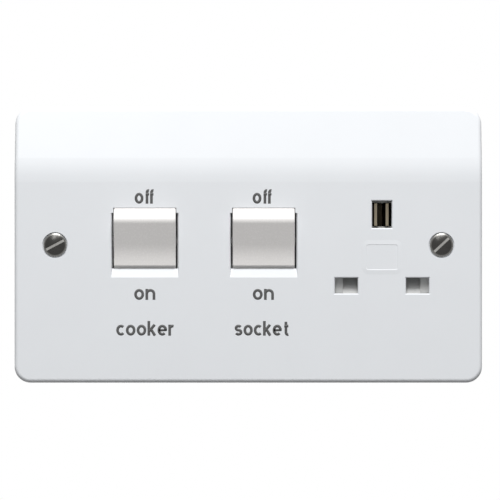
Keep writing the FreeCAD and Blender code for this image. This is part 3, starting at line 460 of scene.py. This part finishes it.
class NodeTree:
    """Small wrapper round a new Geometry Nodes tree."""

    def __init__(self, name: str) -> None:
        """Start a tree with a geometry input and output.

        Args:
            name: Name of the tree.
        """
        self.tree = bpy.data.node_groups.new(name, "GeometryNodeTree")
        self.sockets: dict[str, str] = {}
        for way in ("INPUT", "OUTPUT"):
            self.tree.interface.new_socket(
                "Geometry", in_out=way, socket_type="NodeSocketGeometry"
            )
        self.entry = self.tree.nodes.new("NodeGroupInput")
        self.exit = self.tree.nodes.new("NodeGroupOutput")

    def size(self, name: str, kind: str = "NodeSocketFloat") -> None:
        """Add a named input.

        Args:
            name: Name of the input.
            kind: Socket type of the input.
        """
        socket = self.tree.interface.new_socket(name, in_out="INPUT", socket_type=kind)
        self.sockets[name] = socket.identifier

    def node(self, kind: str, **settings: object) -> bpy.types.Node:
        """Return a new node.

        Args:
            kind: Node type.
            settings: Values of the node's own properties.

        Returns:
            The node.
        """
        made = self.tree.nodes.new(kind)
        for name, value in settings.items():
            setattr(made, name, value)
        return made

    def link(self, start: Socket, end: Socket) -> None:
        """Join two sockets.

        Args:
            start: Output of a node.
            end: Input of a node.
        """
        self.tree.links.new(start, end)

    def close(self, shape: Socket) -> None:
        """End the tree in realised geometry with its material.

        Args:
            shape: Socket with the finished geometry.
        """
        self.size("Finish", "NodeSocketMaterial")
        real = self.node("GeometryNodeRealizeInstances")
        paint = self.node("GeometryNodeSetMaterial")
        self.link(shape, real.inputs["Geometry"])
        self.link(real.outputs["Geometry"], paint.inputs["Geometry"])
        self.link(self.entry.outputs["Finish"], paint.inputs["Material"])
        self.link(paint.outputs["Geometry"], self.exit.inputs["Geometry"])

    def use_on(self, carrier: bpy.types.Object, **values: object) -> None:
        """Put the tree on an object as a modifier.

        Args:
            carrier: Object that gets the modifier.
            values: Value of each named input.
        """
        modifier = carrier.modifiers.new(self.tree.name, "NODES")
        modifier.node_group = self.tree
        for name, value in values.items():
            modifier[self.sockets[name.replace("_", " ").title()]] = value


@dataclass(frozen=True)
class StrokeAlphabet:
    """Round-shouldered lower-case letters drawn as centre lines, in millimetres from the baseline.

    Attributes:
        stroke: Width of a stroke.
        body: Height of a letter without an ascender.
        ascender: Height of a letter with an ascender.
        spacing: Clear gap between letters.
        tuck: How far the letter after an f moves under its arm.
        bowl: Half width of a round letter's centre line.
        mouth: Half of the opening of c and e, in degrees.
        shoulder: Radius of the arm of r.
        hook: Radius of the top of f.
        foot: Radius of the foot of t.
    """

    stroke: float = 0.84
    body: float = 3.4
    ascender: float = 4.55
    spacing: float = 0.4
    tuck: float = 0.9
    bowl: float = 1.1
    mouth: float = 48.0
    shoulder: float = 0.95
    hook: float = 0.6
    foot: float = 0.65

    @staticmethod
    def arc(centre: Point, radii: Point, start: float, end: float) -> list[Point]:
        """Return points on an elliptic arc.

        Args:
            centre: Centre of the ellipse.
            radii: Half width and half height.
            start: First angle in degrees.
            end: Last angle in degrees.

        Returns:
            Points along the arc.
        """
        steps = max(ARC_STEPS_LEAST, int(abs(end - start) / ARC_STEP))
        points = []
        for step in range(steps + 1):
            angle = math.radians(start + (end - start) * step / steps)
            x = centre[0] + radii[0] * math.cos(angle)
            points.append((x, centre[1] + radii[1] * math.sin(angle)))
        return points

    def strokes(self, letter: str) -> list[list[Point]]:
        """Return the strokes of a letter.

        Args:
            letter: One of the letters that the plate carries.

        Returns:
            One list of points for each stroke.
        """
        top = self.body - self.stroke / 2
        middle = self.body / 2
        tall = top - middle
        tip = self.ascender - self.stroke / 2
        wide, arm, hook, foot = self.bowl, self.shoulder, self.hook, self.foot
        mouth_end = 360.0 - self.mouth
        centre, bowl = (wide, middle), (wide, tall)
        stem = [(0.0, 0.0), (0.0, self.body)]
        shapes = {
            "o": [self.arc(centre, bowl, 0, 360)],
            "c": [self.arc(centre, bowl, self.mouth, mouth_end)],
            "e": [
                [(0.0, middle), (2 * wide, middle)] + self.arc(centre, bowl, 0, mouth_end)[1:],
            ],
            "n": [
                stem,
                self.arc((wide, top - wide), (wide, wide), 180, 0) + [(2 * wide, 0.0)],
            ],
            "r": [
                stem,
                self.arc((arm, top - arm), (arm, arm), 180, 72),
            ],
            "f": [
                self.arc((1.1, tip - hook), (hook, hook), 75, 180) + [(0.5, 0.0)],
                [(0.0, top), (1.25, top)],
            ],
            "t": [
                [(0.55, self.ascender - 0.25)]
                + self.arc((1.2, 0.35 + foot), (foot, foot), 180, 285),
                [(0.0, top), (1.35, top)],
            ],
            "k": [
                [(0.0, 0.0), (0.0, self.ascender)],
                [(0.1, 1.35), (1.85, self.body)],
                [(0.72, 1.9), (1.95, 0.0)],
            ],
            "s": [
                self.arc((0.9, middle + tall / 2), (0.82, tall / 2), 28, 270)
                + self.arc((0.9, middle - tall / 2), (0.88, tall / 2), 90, -152)[1:],
            ],
        }
        return shapes[letter]

    def word(self, text: str) -> tuple[list[list[Point]], float]:
        """Return the strokes of a word set from X 0, and its width.

        Args:
            text: Word to set.

        Returns:
            Strokes, and the width over the outside of the letters.
        """
        strokes: list[list[Point]] = []
        left = self.stroke / 2
        right = 0.0
        for letter in text:
            drawn = self.strokes(letter)
            strokes += [[(x + left, y) for x, y in stroke] for stroke in drawn]
            right = left + max(x for stroke in drawn for x, _ in stroke) + self.stroke / 2
            left = right + self.spacing + self.stroke / 2 - (self.tuck if letter == "f" else 0.0)
        return strokes, right


@dataclass(frozen=True)
class Word:
    """A printed word on the plate.

    Attributes:
        text: Letters of the word.
        left: X of its left end, in millimetres.
        right: X of its right end, in millimetres.
        baseline: Z of its baseline, in millimetres.
    """

    text: str
    left: float
    right: float
    baseline: float


@dataclass
class Lettering:
    """Words printed on the face of the plate.

    Attributes:
        alphabet: Letters that the words are set in.
        words: The words and their places.
        ink_height: Thickness of the ink film, in metres.
        layer_step: Height by which each stroke lies over the one before it, in metres.
    """

    alphabet: StrokeAlphabet = StrokeAlphabet()
    words: tuple[Word, ...] = (
        Word("off", -35.4, -29.2, 12.9),
        Word("on", -35.6, -29.0, -17.1),
        Word("cooker", -41.2, -22.9, -28.25),
        Word("off", 1.4, 7.6, 12.9),
        Word("on", 1.4, 8.0, -17.1),
        Word("socket", -4.3, 12.9, -28.25),
    )
    ink_height: float = 0.00004
    layer_step: float = 0.000003

    def build(self) -> bpy.types.Object:
        """Build all words as one thin mesh on the face of the plate.

        Returns:
            The printed words.
        """
        carrier = self._centre_lines()
        tree = self._sweep()
        tree.use_on(
            carrier,
            stroke_width=self.alphabet.stroke * MM,
            ink_height=self.ink_height,
            finish=PRINT_INK.material(),
        )
        face = plate_face()
        stand = Matrix.Translation((0.0, face, 0.0)) @ Matrix.Rotation(math.pi / 2, 4, "X")
        words = plain_mesh(carrier, "printed_words", stand)
        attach(words, UNIT_BODY)
        return words

    def _centre_lines(self) -> bpy.types.Object:
        """Draw the centre line of every stroke.

        Returns:
            A curve object with the lines.
        """
        curve = bpy.data.curves.new("word_lines", "CURVE")
        curve.dimensions = "3D"
        for word in self.words:
            strokes, width = self.alphabet.word(word.text)
            fit = (word.right - word.left) / width
            for layer, stroke in enumerate(strokes):
                line = curve.splines.new("POLY")
                line.points.add(len(stroke) - 1)
                lift = layer * self.layer_step
                for point, (x, y) in zip(line.points, stroke):
                    point.co = ((word.left + x * fit) * MM, (word.baseline + y) * MM, lift, 1.0)
        return add_object("word_lines", curve)

    def _sweep(self) -> NodeTree:
        """Build the tree that draws a flat ribbon along each line.

        Returns:
            The tree.
        """
        tree = NodeTree("ink_ribbon")
        tree.size("Stroke Width")
        tree.size("Ink Height")
        section = tree.node("GeometryNodeCurvePrimitiveQuadrilateral")
        upright = tree.node("GeometryNodeSetCurveNormal", mode="Z_UP")
        ribbon = tree.node("GeometryNodeCurveToMesh")
        ribbon.inputs["Fill Caps"].default_value = True
        tree.link(tree.entry.outputs["Stroke Width"], section.inputs["Width"])
        tree.link(tree.entry.outputs["Ink Height"], section.inputs["Height"])
        tree.link(tree.entry.outputs["Geometry"], upright.inputs["Curve"])
        tree.link(upright.outputs["Curve"], ribbon.inputs["Curve"])
        tree.link(section.outputs["Curve"], ribbon.inputs["Profile Curve"])
        tree.close(ribbon.outputs["Mesh"])
        return tree


@dataclass(frozen=True)
class Winding:
    """Wire or ridge wound at an even pitch about Z, from the point that carries it.

    Attributes:
        name: Name of the finished piece.
        length: Height that the winding climbs, in metres.
        turns: Number of turns.
        radius: Radius of its centre line, in metres.
        wire: Radius of the wire, in metres.
        sides: Number of sides of the wire.
        steps: Number of steps in one turn.
    """

    name: str
    length: float
    turns: float
    radius: float
    wire: float
    sides: int
    steps: int

    def build(self, places: list[Point3], move: Matrix, finish: Finish) -> bpy.types.Object:
        """Build one winding at each place, as one mesh.

        Args:
            places: Starts of the windings, before the move.
            move: Place of the whole in the unit's frame.
            finish: Finish of the wire.

        Returns:
            The windings.
        """
        mesh = bpy.data.meshes.new(f"{self.name}_places")
        mesh.from_pydata(places, [], [])
        carrier = add_object(mesh.name, mesh)
        self._tree().use_on(
            carrier,
            length=self.length,
            turns=self.turns,
            radius=self.radius,
            wire=self.wire,
            finish=finish.material(),
        )
        return plain_mesh(carrier, self.name, move)

    def _tree(self) -> NodeTree:
        """Build the tree that winds a wire on each point.

        Returns:
            The tree.
        """
        tree = NodeTree(f"{self.name}_winding")
        for name in ("Length", "Turns", "Radius", "Wire"):
            tree.size(name)
        spiral = tree.node("GeometryNodeCurveSpiral")
        spiral.inputs["Resolution"].default_value = self.steps
        section = tree.node("GeometryNodeCurvePrimitiveCircle")
        section.inputs["Resolution"].default_value = self.sides
        wire = tree.node("GeometryNodeCurveToMesh")
        wire.inputs["Fill Caps"].default_value = True
        copies = tree.node("GeometryNodeInstanceOnPoints")
        tree.link(tree.entry.outputs["Turns"], spiral.inputs["Rotations"])
        tree.link(tree.entry.outputs["Radius"], spiral.inputs["Start Radius"])
        tree.link(tree.entry.outputs["Radius"], spiral.inputs["End Radius"])
        tree.link(tree.entry.outputs["Length"], spiral.inputs["Height"])
        tree.link(tree.entry.outputs["Wire"], section.inputs["Radius"])
        tree.link(spiral.outputs["Curve"], wire.inputs["Curve"])
        tree.link(section.outputs["Curve"], wire.inputs["Profile Curve"])
        tree.link(tree.entry.outputs["Geometry"], copies.inputs["Points"])
        tree.link(wire.outputs["Mesh"], copies.inputs["Instance"])
        tree.close(copies.outputs["Instances"])
        return tree


@dataclass
class ScrewThreads:
    """Raised threads of the two wall screws.

    Attributes:
        start: Y where the thread starts, in metres.
        length: Length of the thread, in metres.
        pitch: Advance of one turn, in metres.
        core: Radius on which the ridge runs, in metres.
        ridge: Size of the ridge, in metres.
    """

    start: float = 0.0015
    length: float = 0.0202
    pitch: float = 0.0006
    core: float = 0.00174
    ridge: float = 0.0003

    def build(self) -> bpy.types.Object:
        """Build both threads as one mesh.

        Returns:
            The threads.
        """
        turns = self.length / self.pitch
        winding = Winding(
            "wall_screw_threads", self.length, turns, self.core, self.ridge, sides=4, steps=20
        )
        places = [(x, 0.0, 0.0) for x in SCREW_X]
        lay = Matrix.Translation((0.0, self.start, 0.0)) @ Matrix.Rotation(-math.pi / 2, 4, "X")
        threads = winding.build(places, lay, NICKEL)
        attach(threads, UNIT_BODY)
        return threads


@dataclass
class ShutterSpring:
    """Round-wire return spring, which the sliding shutter presses against its seat; built at its
    CAD node's length.

    Attributes:
        wire: Radius of the wire, in metres.
        turns: Number of turns.
        pressed: Share of its length that is left when the shutter is right down; not used.
    """

    wire: float = 0.00024
    turns: float = 6.0
    pressed: float = 0.4

    def build(self) -> bpy.types.Object:
        """Build the spring in the place of its CAD node.

        Returns:
            The spring.
        """
        low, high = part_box("shutter_spring")
        middle = (low + high) / 2
        length = high.z - low.z - 2 * self.wire
        radius = (high.x - low.x) / 2 - self.wire
        winding = Winding(
            "wound_shutter_spring", length, self.turns, radius, self.wire, sides=10, steps=32
        )
        foot = (middle.x, middle.y, low.z + self.wire)
        spring = winding.build([foot], Matrix.Identity(4), SPRING_WIRE)
        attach(spring, UNIT_BODY)
        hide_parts("shutter_spring")
        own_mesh(spring)
        return spring


BOX_FACES = (
    (0, 1, 2, 3),
    (7, 6, 5, 4),
    (0, 4, 5, 1),
    (1, 5, 6, 2),
    (2, 6, 7, 3),
    (3, 7, 4, 0),
)


@dataclass
class PaintedSlotReflections:
    """Bright floors in the slots of the two wall screws, a painted reflection.

    Attributes:
        angles: Rise of each slot to the right, in degrees.
        length: Length of a floor, in metres.
        width: Width of a floor, in metres.
        skin: Thickness of the bright skin, in metres.
    """

    angles: tuple[float, float] = (28.0, 43.0)
    length: float = 0.0062
    width: float = 0.00078
    skin: float = 0.00002

    def build(self) -> bpy.types.Object:
        """Build both slot floors as one mesh.

        Returns:
            The slot floors.
        """
        face = plate_face()
        corners: list[Point3] = []
        faces: list[Face] = []
        for centre_x, angle in zip(SCREW_X, self.angles):
            first = len(corners)
            turn = Matrix.Rotation(math.radians(-angle), 4, "Y")
            for depth in (face - self.skin, face + self.skin):
                for along, up in ((-1, -1), (1, -1), (1, 1), (-1, 1)):
                    point = turn @ Vector((along * self.length / 2, 0.0, up * self.width / 2))
                    corners.append((point.x + centre_x, depth, point.z))
            faces += [tuple(first + i for i in ring) for ring in BOX_FACES]
        return moulded("painted_slot_reflections", corners, faces, SLOT_REFLECTION_NICKEL)


@dataclass
class SunkPad:
    """Plain panel on the face between the earth slot and the line slots, framed by a low step.

    Attributes:
        centre: X and Z of its centre, in metres.
        width: Width of the panel, in metres.
        height: Height of the panel, in metres.
        crest: Height of the step above the face, in metres.
        skirt: Width of the gentle slope outside the step, in metres.
        step: Width of the steep slope inside it, in metres.
        root: Depth to which the frame goes into the face, in metres.
        corner: Radius of its corners, in metres.
    """

    centre: Point = (0.0417, -0.0038)
    width: float = 0.0100
    height: float = 0.0080
    crest: float = 0.00007
    skirt: float = 0.0022
    step: float = 0.00032
    root: float = 0.00004
    corner: float = 0.0008

    def build(self) -> bpy.types.Object:
        """Build the frame of the panel.

        Returns:
            The frame.
        """
        face = plate_face()
        rings = [
            self._ring(-self.skirt, face + self.root),
            self._ring(0.0, face - self.crest),
            self._ring(self.step, face + self.root),
        ]
        count = len(rings[0])
        corners = [point for ring in rings for point in ring]
        faces: list[Face] = []
        for ring in range(len(rings)):
            low, high = ring * count, (ring + 1) % len(rings) * count
            for i in range(count):
                j = (i + 1) % count
                faces.append((low + i, low + j, high + j, high + i))
        return moulded("sunk_pad", corners, faces, PLATE_WHITE)

    def _ring(self, inset: float, depth: float) -> list[Point3]:
        """Return a round-cornered rectangle at a depth.

        Args:
            inset: Distance inside the outline of the panel, in metres.
            depth: Y of the ring, in metres.

        Returns:
            Points of the ring, anticlockwise as seen from the front.
        """
        reach_x = self.width / 2 - self.corner
        reach_z = self.height / 2 - self.corner
        radius = self.corner - inset
        points: list[Point3] = []
        for turn, (side_x, side_z) in enumerate(((1, 1), (-1, 1), (-1, -1), (1, -1))):
            for step in range(CORNER_STEPS + 1):
                angle = math.radians(90.0 * turn + 90.0 / CORNER_STEPS * step)
                x = self.centre[0] + side_x * reach_x + radius * math.cos(angle)
                z = self.centre[1] + side_z * reach_z + radius * math.sin(angle)
                points.append((x, depth, z))
        return points


@dataclass(frozen=True)
class Lamp:
    """Square soft lamp that faces the plate.

    Attributes:
        name: Name of the lamp.
        place: Its place, in metres.
        size: Length of its side, in metres.
        power: Its power, in watts.
    """

    name: str
    place: Point3
    size: float
    power: float

    def build(self) -> None:
        """Add the lamp to the scene."""
        light = bpy.data.lights.new(self.name, "AREA")
        light.size = self.size
        light.energy = self.power
        lamp = add_object(self.name, light)
        lamp.location = self.place
        lamp.rotation_euler = (-Vector(self.place)).to_track_quat("-Z", "Y").to_euler()


@dataclass
class Studio:
    """Floor, light, background and camera.

    Attributes:
        floor_z: Height of the floor, in metres.
        floor_reach: Half size of the floor, in metres.
        frame_width: Width of the picture at the face of the plate, in metres.
        distance: Distance from the camera to the face, in metres.
        view_depth: Depth that the camera sees, in metres.
        aim: X and Z at the centre of the picture, in metres.
        lamps: The soft lamps.
        floor_glow: Colour by which the floor lights the unit.
        room_low: Colour of the room below the unit.
        room_high: Colour of the room above the unit.
        room_fade: Shares of the room's height between which its colour changes.
    """

    floor_z: float = -0.2
    floor_reach: float = 1.2
    frame_width: float = 0.156
    distance: float = 1.0
    view_depth: float = 20.0
    aim: Point = (0.00053, -0.00156)
    lamps: tuple[Lamp, ...] = (
        Lamp("key", (0.056, -0.924, 1.45), 0.84, 35.8),
        Lamp("window", (-0.24, -1.0, 0.72), 0.24, 1.98),
    )
    floor_glow: Colour = (0.2, 0.2, 0.2)
    room_low: Colour = (0.03, 0.03, 0.031)
    room_high: Colour = (0.2, 0.2, 0.2)
    room_fade: Point = (0.35, 0.8)

    def build(self) -> None:
        """Build the whole studio."""
        self._floor()
        for lamp in self.lamps:
            lamp.build()
        self._background()
        self._camera()
        bpy.context.scene.view_settings.view_transform = "Standard"

    def _floor(self) -> None:
        """Build the plain pale floor."""
        reach = self.floor_reach
        mesh = bpy.data.meshes.new("floor")
        corners = [(-reach, -reach), (reach, -reach), (reach, reach), (-reach, reach)]
        mesh.from_pydata([(x, y, self.floor_z) for x, y in corners], [], [(0, 1, 2, 3)])
        mesh.materials.append(self._floor_material())
        floor = add_object("floor", mesh)

    def _floor_material(self) -> bpy.types.Material:
        """Build a matt floor that looks pale and throws little light back at the unit.

        Returns:
            The material of the floor.
        """
        pale = PALE_FLOOR.material()
        tree = pale.node_tree
        dim = tree.nodes.new("ShaderNodeBsdfDiffuse")
        dim.inputs["Color"].default_value = (*self.floor_glow, 1.0)
        mix = tree.nodes.new("ShaderNodeMixShader")
        tree.links.new(self._seen_ray(tree), mix.inputs["Fac"])
        tree.links.new(dim.outputs["BSDF"], mix.inputs[1])
        tree.links.new(tree.nodes["Principled BSDF"].outputs["BSDF"], mix.inputs[2])
        tree.links.new(mix.outputs["Shader"], tree.nodes["Material Output"].inputs["Surface"])
        return pale

    @staticmethod
    def _seen_ray(tree: bpy.types.NodeTree) -> Socket:
        """Return a socket that is 1 for what is seen, directly, mirrored or through a clear piece.

        Args:
            tree: Tree that gets the nodes.

        Returns:
            The output of the last node.
        """
        ray = tree.nodes.new("ShaderNodeLightPath")
        seen = ray.outputs["Is Camera Ray"]
        for kind in ("Is Glossy Ray", "Is Transmission Ray"):
            either = tree.nodes.new("ShaderNodeMath")
            either.operation = "MAXIMUM"
            tree.links.new(seen, either.inputs[0])
            tree.links.new(ray.outputs[kind], either.inputs[1])
            seen = either.outputs["Value"]
        return seen

    def _background(self) -> None:
        """Build a white background with a soft grey room around the unit."""
        world = bpy.data.worlds.new("studio")
        bpy.context.scene.world = world
        world.use_nodes = True
        nodes, links = world.node_tree.nodes, world.node_tree.links
        room = nodes["Background"]
        place = nodes.new("ShaderNodeTexCoord")
        split = nodes.new("ShaderNodeSeparateXYZ")
        links.new(place.outputs["Generated"], split.inputs["Vector"])
        ramp = nodes.new("ShaderNodeValToRGB")
        colours = (self.room_low, self.room_high)
        for stop, position, colour in zip(ramp.color_ramp.elements, self.room_fade, colours):
            stop.position = position
            stop.color = (*colour, 1.0)
        height = nodes.new("ShaderNodeMapRange")
        height.inputs["From Min"].default_value = -1.0
        links.new(split.outputs["Z"], height.inputs["Value"])
        links.new(height.outputs["Result"], ramp.inputs["Fac"])
        links.new(ramp.outputs["Color"], room.inputs["Color"])
        white = nodes.new("ShaderNodeBackground")
        white.inputs["Color"].default_value = (1.0, 1.0, 1.0, 1.0)
        mix = nodes.new("ShaderNodeMixShader")
        links.new(self._seen_ray(world.node_tree), mix.inputs["Fac"])
        links.new(room.outputs["Background"], mix.inputs[1])
        links.new(white.outputs["Background"], mix.inputs[2])
        links.new(mix.outputs["Shader"], nodes["World Output"].inputs["Surface"])

    def _camera(self) -> None:
        """Place the camera straight in front of the plate."""
        lens = bpy.data.cameras.new("camera")
        lens.lens = lens.sensor_width * self.distance / self.frame_width
        lens.clip_end = self.view_depth
        camera = add_object("camera", lens)
        camera.location = (self.aim[0], plate_face() - self.distance, self.aim[1])
        camera.rotation_euler = (math.pi / 2, 0.0, 0.0)
        bpy.context.scene.camera = camera


def main() -> None:
    """Build every piece in order."""
    logging.basicConfig(level=logging.INFO)
    dress_cad_nodes()
    for maker in (Lettering(), ScrewThreads(), ShutterSpring(), PaintedSlotReflections(), SunkPad()):
        piece = maker.build()
        log.info("built %s with %d faces", piece.name, len(piece.data.polygons))
    Studio().build()


if __name__ == "__main__":
    main()
